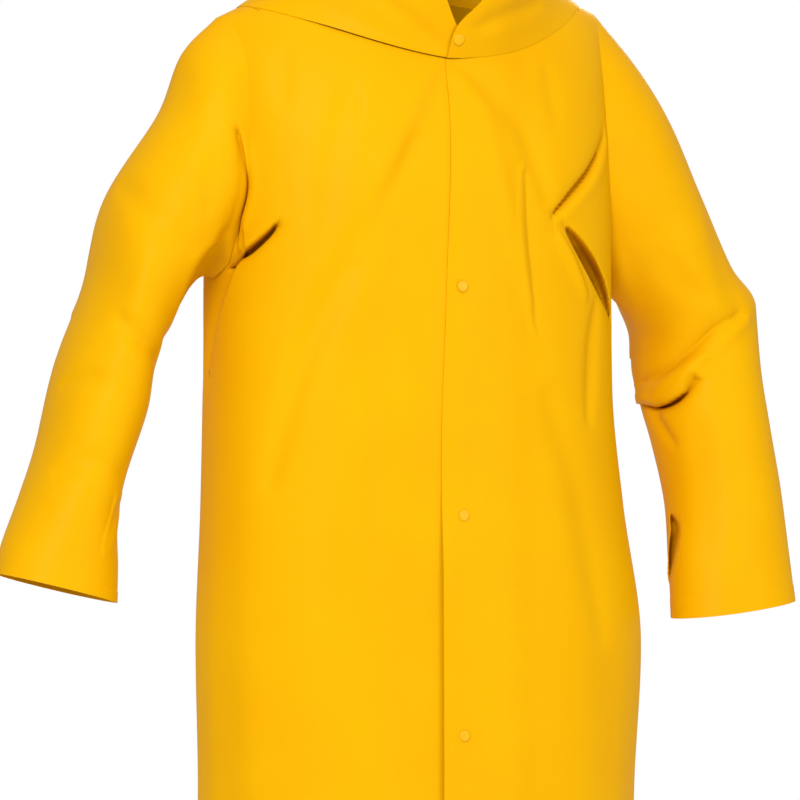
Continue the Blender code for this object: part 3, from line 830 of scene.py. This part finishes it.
@dataclass(frozen=True)
class HoodForm:
    """Level slices of the hood, from the neck seam to the crown."""

    front_z: tuple = (-0.097, -0.060, -0.025, 0.030, 0.095, 0.165, 0.225, 0.262, 0.276)
    side_z: tuple = (-0.037, -0.008, 0.030, 0.085, 0.145, 0.205, 0.256, 0.288, 0.300)
    back_z: tuple = (-0.005, 0.028, 0.065, 0.120, 0.180, 0.238, 0.280, 0.300, 0.306)
    half: tuple = (0.208, 0.172, 0.146, 0.131, 0.127, 0.122, 0.103, 0.064, 0.0001)
    front_y: tuple = (-0.127, -0.142, -0.154, -0.166, -0.172, -0.168, -0.154, -0.136, -0.120)
    side_y: tuple = (0.000, 0.002, 0.000, -0.006, -0.010, -0.012, -0.014, -0.018, -0.030)
    back_y: tuple = (0.085, 0.090, 0.098, 0.112, 0.124, 0.127, 0.114, 0.088, 0.050)
    left_face: tuple = (-0.010, -0.003, 0.030, 0.064, 0.084, 0.086, 0.068, 0.034, 0.0)
    right_face: tuple = (-0.028, 0.003, 0.024, 0.060, 0.084, 0.086, 0.068, 0.034, 0.0)
    power: float = 2.2
    blend: float = 0.30

    def slices(self, beta: Array, t: Array) -> Array:
        """Points of the hood's own slices.

        Args:
            beta: angle from the front centre round to the back.
            t: share of the way from the neck seam to the crown.

        Returns:
            The points, on the wearer's left.
        """
        half, side_y = smooth(self.half, t), smooth(self.side_y, t)
        in_front = np.cos(beta) > 0
        end_y = np.where(in_front, smooth(self.front_y, t), smooth(self.back_y, t))
        end_z = np.where(in_front, smooth(self.front_z, t), smooth(self.back_z, t))
        across = np.sin(beta)
        y = side_y + (end_y - side_y) * rounded(across, self.power)
        z = end_z + (smooth(self.side_z, t) - end_z) * across**2
        return np.stack([half * across, y, z], axis=-1)

    def points(self, beta: Array, t: Array, side: int) -> Array:
        """Outer points of one half of the hood, which starts on the neck seam.

        Args:
            beta: angle from the front centre round to the back.
            t: share of the way from the neck seam to the crown.
            side: 1 for the wearer's left, -1 for the right.

        Returns:
            The points.
        """
        theta, level = BODY.neck_seam(beta, side)
        start = BODY.point(side * theta, level)
        fade = 1.0 - ease(t / self.blend)
        drift = start * (side, 1.0, 1.0) - self.slices(beta, 0.0 * t)
        return (self.slices(beta, t) + drift * fade[..., None]) * (side, 1.0, 1.0)


HOOD = HoodForm()


@dataclass
class HoodHalf(ClothPiece):
    """Half of the hood, from the face edge to the centre seam."""

    face_width: float = 0.21
    seam_width: float = 0.20
    seam_step: float = 0.0009
    seam_band: float = 0.007
    seam_turn: float = 0.003
    seam_end: float = 0.04
    overhang: float = 0.0026
    overhang_x: tuple = (0.125, 0.175)
    rim: float = 0.0006
    back_rim: float = 0.0005
    rim_rows: float = 0.028
    drop: float = 0.0025
    drop_rows: float = 0.02
    drop_y: float = 0.03
    lift_rows: tuple = (0.20, 0.45)
    crown_rows: tuple = (0.90, 0.98)

    def face(self, u: Array, v: Array) -> tuple:
        """The smooth outer face, before hems and folds.

        Args:
            u: shares across the piece.
            v: shares down the piece, or up the hood.

        Returns:
            The points, and the outward directions there.
        """
        half = smooth(HOOD.half, v)
        open_to = HOOD.left_face if self.side > 0 else HOOD.right_face
        edge = np.arcsin(np.clip(smooth(open_to, v) / half, -1.0, 1.0))
        front = edge + (math.pi / 2 - edge) * BODY.crowd(2.0 * u)
        beta = np.where(u < 0.5, front, math.pi - math.pi / 2 * BODY.crowd(2.0 - 2.0 * u))
        along = HOOD.points(beta + PROBE, v, self.side) - HOOD.points(beta - PROBE, v, self.side)
        low, high = np.maximum(v - PROBE, 0.0), np.minimum(v + PROBE, 1.0)
        up = HOOD.points(beta, high, self.side) - HOOD.points(beta, low, self.side)
        normals = unit(np.cross(along, up)) * self.side
        theta, level = BODY.neck_seam(beta, self.side)
        seam = BODY.normal(theta * self.side, level)
        share = ease(v / SEAM_SHARE)[..., None]
        normals = unit(seam * (1.0 - share) + normals * share)
        normals[..., 0] *= 1.0 - between(v, self.crown_rows)
        normals = unit(normals)
        points = HOOD.points(beta, v, self.side)
        behind = ease(points[..., 1] / self.drop_y)
        points[..., 2] -= self.drop * behind * np.exp(-((v / self.drop_rows) ** 2))
        below_face = 1.0 - between(v, self.lift_rows)
        return points + normals * BODY.lift(points, self.side) * below_face[..., None], normals

    def trim(self, u: Array, v: Array, points: Array) -> Array:
        """How far hems, laps and overlapping edges stand off the smooth form.

        Args:
            u: shares across the piece.
            v: shares down the piece, or up the hood.
            points: the smooth points there.

        Returns:
            The height at each place.
        """
        over = self.overhang if self.side < 0 else 0.0
        in_front = points[:, 1] < 0.0
        ends = (1.0 - between(np.abs(points[:, 0]), self.overhang_x)) * in_front
        behind = self.back_rim * (points[:, 1] > 0.0)
        rim = (over * ends + self.rim + behind) * np.exp(-((v / self.rim_rows) ** 2))
        to_centre = BODY.crowd(2.0 - 2.0 * u) * self.seam_width
        seam = self.seam_step * (1.0 - ease((to_centre - self.seam_band) / self.seam_turn))
        seam = seam * ease((1.0 - v) / self.seam_end)
        return rim + seam + self.hem(BODY.crowd(2.0 * u) * self.face_width)


# ---------------------------------------------------------------------------------------------
# Finishes
# ---------------------------------------------------------------------------------------------
def grain_group() -> bpy.types.NodeTree:
    """A shared group: fine calendered grain and soft handling marks.

    Returns:
        The group, with the grain's scale in, and its height and the marks' mask out.
    """
    detail, marks_scale, marks_detail = 3.0, 7.0, 4.0
    group = bpy.data.node_groups.new("coated_grain", "ShaderNodeTree")
    group.interface.new_socket(name="Scale", in_out="INPUT", socket_type="NodeSocketFloat")
    group.interface.new_socket(name="Height", in_out="OUTPUT", socket_type="NodeSocketFloat")
    group.interface.new_socket(name="Mask", in_out="OUTPUT", socket_type="NodeSocketFloat")
    enter, leave = group.nodes.new("NodeGroupInput"), group.nodes.new("NodeGroupOutput")
    spot = group.nodes.new("ShaderNodeTexCoord")
    fine, broad = group.nodes.new("ShaderNodeTexNoise"), group.nodes.new("ShaderNodeTexNoise")
    dial(fine, Detail=detail)
    dial(broad, Scale=marks_scale, Detail=marks_detail)
    group.links.new(spot.outputs["Object"], fine.inputs["Vector"])
    group.links.new(spot.outputs["Object"], broad.inputs["Vector"])
    group.links.new(enter.outputs["Scale"], fine.inputs["Scale"])
    group.links.new(fine.outputs["Fac"], leave.inputs["Height"])
    group.links.new(broad.outputs["Fac"], leave.inputs["Mask"])
    return group


@dataclass(frozen=True)
class CoatedCloth:
    """Satin coated cloth: saturated yellow, a fine grain and slightly uneven gloss."""

    name: str = "coat_cloth"
    color: tuple = (0.700, 0.352, 0.0003, 1.0)
    deep: tuple = (0.684, 0.330, 0.0002, 1.0)
    roughness: tuple = (0.40, 0.52)
    grain_scale: float = 900.0
    grain_depth: float = 0.00012
    grain_strength: float = 0.35
    marks: tuple = (0.35, 0.65)
    ior: float = 1.10

    def material(self, grain: bpy.types.NodeTree) -> bpy.types.Material:
        """Make the cloth's material.

        Args:
            grain: the shared grain group.

        Returns:
            The material.
        """
        material = bpy.data.materials.new(self.name)
        material.use_nodes = True
        nodes, links = material.node_tree.nodes, material.node_tree.links
        shader = nodes["Principled BSDF"]
        effect = nodes.new("ShaderNodeGroup")
        effect.node_tree = grain
        dial(effect, Scale=self.grain_scale)
        color = nodes.new("ShaderNodeMix")
        color.data_type = "RGBA"
        dial(color, A=self.deep, B=self.color)
        spread = nodes.new("ShaderNodeMapRange")
        dial(spread, From_Min=self.marks[0], From_Max=self.marks[1])
        links.new(effect.outputs["Mask"], spread.inputs["Value"])
        links.new(spread.outputs["Result"], color.inputs["Factor"])
        links.new(color.outputs["Result"], shader.inputs["Base Color"])
        gloss = nodes.new("ShaderNodeMapRange")
        dial(gloss, To_Min=self.roughness[0], To_Max=self.roughness[1])
        links.new(effect.outputs["Mask"], gloss.inputs["Value"])
        links.new(gloss.outputs["Result"], shader.inputs["Roughness"])
        bump = nodes.new("ShaderNodeBump")
        dial(bump, Distance=self.grain_depth, Strength=self.grain_strength)
        links.new(effect.outputs["Height"], bump.inputs["Height"])
        links.new(bump.outputs["Normal"], shader.inputs["Normal"])
        dial(shader, IOR=self.ior)
        return material


@dataclass(frozen=True)
class SnapPlastic:
    """Moulded snap caps, a touch paler and glossier than the cloth."""

    name: str = "snap_caps"
    color: tuple = (0.704, 0.358, 0.002, 1.0)
    roughness: tuple = (0.22, 0.34)
    grain_scale: float = 300.0
    ior: float = 1.25

    def material(self, grain: bpy.types.NodeTree) -> bpy.types.Material:
        """Make the caps' material.

        Args:
            grain: the shared grain group.

        Returns:
            The material.
        """
        material = bpy.data.materials.new(self.name)
        material.use_nodes = True
        nodes, links = material.node_tree.nodes, material.node_tree.links
        shader = nodes["Principled BSDF"]
        dial(shader, Base_Color=self.color)
        effect = nodes.new("ShaderNodeGroup")
        effect.node_tree = grain
        dial(effect, Scale=self.grain_scale)
        gloss = nodes.new("ShaderNodeMapRange")
        dial(gloss, To_Min=self.roughness[0], To_Max=self.roughness[1])
        links.new(effect.outputs["Mask"], gloss.inputs["Value"])
        links.new(gloss.outputs["Result"], shader.inputs["Roughness"])
        dial(shader, IOR=self.ior)
        return material


# ---------------------------------------------------------------------------------------------
# Snaps
# ---------------------------------------------------------------------------------------------
@dataclass
class SnapCap:
    """A snap's outer cap: a dimpled dome with a rolled rim, seated on the cloth."""

    number: int
    radius: float = 0.0065
    height: float = 0.0012
    steps: int = 48
    same_face: float = 0.999
    profile: tuple = ((0.0, 0.90), (0.34, 0.92), (0.50, 0.99), (0.66, 0.97), (0.82, 0.78), (0.94, 0.42),
                      (1.0, 0.12), (0.98, 0.0))

    def build(self) -> bpy.types.Object:
        """Turn the cap's profile and set it where its solid stands.

        Returns:
            The finished cap.
        """
        low, high = (Vector(corner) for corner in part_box(f"snap_{self.number}"))
        centre = (low + high) / 2
        outward = self.outward()
        bm = bmesh.new()
        rings = [bm.verts.new((share * self.radius, 0.0, rise * self.height))
                 for share, rise in self.profile]
        edges = [bm.edges.new(pair) for pair in zip(rings, rings[1:])]
        bmesh.ops.spin(bm, geom=rings + edges, cent=(0, 0, 0), axis=(0, 0, 1), angle=math.tau,
                       steps=self.steps, use_merge=True)
        bmesh.ops.remove_doubles(bm, verts=bm.verts[:], dist=WELD)
        rim = [edge for edge in bm.edges if edge.is_boundary]
        bmesh.ops.contextual_create(bm, geom=rim)
        bmesh.ops.recalc_face_normals(bm, faces=bm.faces[:])
        turn = outward.to_track_quat("Z", "Y").to_matrix().to_4x4()
        turn.translation = centre - outward * (self.height / 2)
        bmesh.ops.transform(bm, matrix=turn, verts=bm.verts[:])
        cap = place(f"snap_cap_{self.number}", bm)
        cap.data.shade_smooth()
        return cap

    def outward(self) -> Vector:
        """The cap's facing direction, square to its solid's flat side.

        Returns:
            The direction, of length one.
        """
        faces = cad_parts[f"snap_{self.number}"].data.polygons
        widest = max(faces, key=lambda face: face.area).normal
        flat = -sum((face.normal * face.area for face in faces if face.normal.dot(widest) > self.same_face),
                    Vector())
        return flat.normalized() if flat.y < 0.0 else -flat.normalized()

    def dress(self, cap: bpy.types.Object, material: bpy.types.Material) -> None:
        """Give the cap its finish and say what it stands for.

        Args:
            cap: the built object.
            material: the caps' material.
        """
        cap.data.materials.append(material)
        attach(cap, "root")
        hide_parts(f"snap_{self.number}")
        LOG.info("snap %d", self.number)


# ---------------------------------------------------------------------------------------------
# Studio
# ---------------------------------------------------------------------------------------------
@dataclass(frozen=True)
class Lamp:
    """A soft rectangular studio light."""

    name: str
    place: tuple
    size: float
    power: float

    def build(self, target: Vector) -> None:
        """Hang the light and aim it.

        Args:
            target: the point that it faces.
        """
        light = bpy.data.lights.new(self.name, "AREA")
        light.shape = "SQUARE"
        light.size = self.size
        light.energy = self.power
        lamp = bpy.data.objects.new(self.name, light)
        lamp.location = self.place
        lamp.rotation_euler = (target - Vector(self.place)).to_track_quat("-Z", "Y").to_euler()
        bpy.context.scene.collection.objects.link(lamp)


@dataclass
class Studio:
    """A pale floor, a pale world, soft lights and the camera."""

    azimuth: float = -23.5
    distance: float = 5.0
    field_width: float = 0.92
    height: float = -0.480
    shift_left: float = 0.0092
    floor_z: float = -1.46
    floor_half: float = 2.4
    floor_color: tuple = (0.85, 0.85, 0.84, 1.0)
    floor_roughness: float = 0.9
    sensor: float = 36.0
    ambient: float = 0.58
    lamps: tuple = (
        Lamp("key", (-2.5, -3.8, 1.4), 1.4, 160.0),
        Lamp("fill", (1.8, -4.2, 0.3), 2.2, 54.0),
        Lamp("top", (0.0, -0.6, 3.0), 2.2, 30.0),
        Lamp("back", (2.0, 3.2, 1.6), 1.4, 95.0),
    )

    def build(self) -> None:
        """Lay the floor, light the scene and set the camera."""
        bm = bmesh.new()
        bmesh.ops.create_grid(bm, x_segments=1, y_segments=1, size=self.floor_half)
        bmesh.ops.translate(bm, vec=(0.0, 0.0, self.floor_z), verts=bm.verts[:])
        floor = place("floor", bm)
        pale = bpy.data.materials.new("floor_pale")
        pale.use_nodes = True
        dial(pale.node_tree.nodes["Principled BSDF"], Base_Color=self.floor_color,
             Roughness=self.floor_roughness)
        floor.data.materials.append(pale)
        world = bpy.data.worlds.new("studio")
        world.use_nodes = True
        nodes, links = world.node_tree.nodes, world.node_tree.links
        seen = nodes.new("ShaderNodeLightPath")
        level = nodes.new("ShaderNodeMapRange")
        dial(level, To_Min=self.ambient, To_Max=1.0)
        links.new(seen.outputs["Is Camera Ray"], level.inputs["Value"])
        links.new(level.outputs["Result"], nodes["Background"].inputs["Strength"])
        dial(nodes["Background"], Color=(1.0, 1.0, 1.0, 1.0))
        bpy.context.scene.world = world
        target = Vector((0.0, 0.0, self.height))
        for lamp in self.lamps:
            lamp.build(target)
        self.camera()

    def camera(self) -> None:
        """Set the camera at its height, turned to the wearer's right of the front."""
        turn = math.radians(self.azimuth)
        away = Vector((math.sin(turn), -math.cos(turn), 0.0))
        right = Vector((math.cos(turn), math.sin(turn), 0.0))
        lens = bpy.data.cameras.new("camera")
        lens.sensor_width = self.sensor
        lens.lens = self.sensor * self.distance / self.field_width
        camera = bpy.data.objects.new("camera", lens)
        level = Vector((0.0, 0.0, self.height))
        camera.location = away * self.distance - right * self.shift_left + level
        camera.rotation_euler = (-away).to_track_quat("-Z", "Y").to_euler()
        bpy.context.scene.collection.objects.link(camera)
        bpy.context.scene.camera = camera
        bpy.context.scene.view_settings.view_transform = "Standard"


def pieces() -> list:
    """Every piece of cloth, in the order that it is sewn.

    Returns:
        The pieces, with their grids, flat cuts and the area of each cut in square metres.
    """
    return [
        BackPanel("back_cloth", "back", 132, 300, (0.66, 1.20), 0.72),
        FrontPanel("front_left_cloth", "front_left", 154, 300, (0.36, 1.14), 0.39, side=1),
        FrontPanel("front_right_cloth", "front_right", 154, 300, (0.36, 1.14), 0.39, side=-1),
        Sleeve("sleeve_left_cloth", "sleeve_left", 168, 220, (0.50, 0.66), 0.27, 1, True,
               form=LEFT_SLEEVE),
        Sleeve("sleeve_right_cloth", "sleeve_right", 168, 220, (0.50, 0.66), 0.27, -1, True,
               form=RIGHT_SLEEVE),
        HoodHalf("hood_left_cloth", "hood_left", 110, 90, (0.36, 0.42), 0.14, side=1),
        HoodHalf("hood_right_cloth", "hood_right", 110, 90, (0.36, 0.42), 0.14, side=-1),
    ]


def main() -> None:
    """Build the studio, then each piece of the coat."""
    logging.basicConfig(level=logging.INFO, format="%(name)s: %(message)s")
    Studio().build()
    grain = grain_group()
    cloth, caps = CoatedCloth().material(grain), SnapPlastic().material(grain)
    for item in pieces():
        item.dress(item.build(), cloth)
    for number in range(1, SNAP_COUNT + 1):
        snap = SnapCap(number)
        snap.dress(snap.build(), caps)


if __name__ == "__main__":
    main()
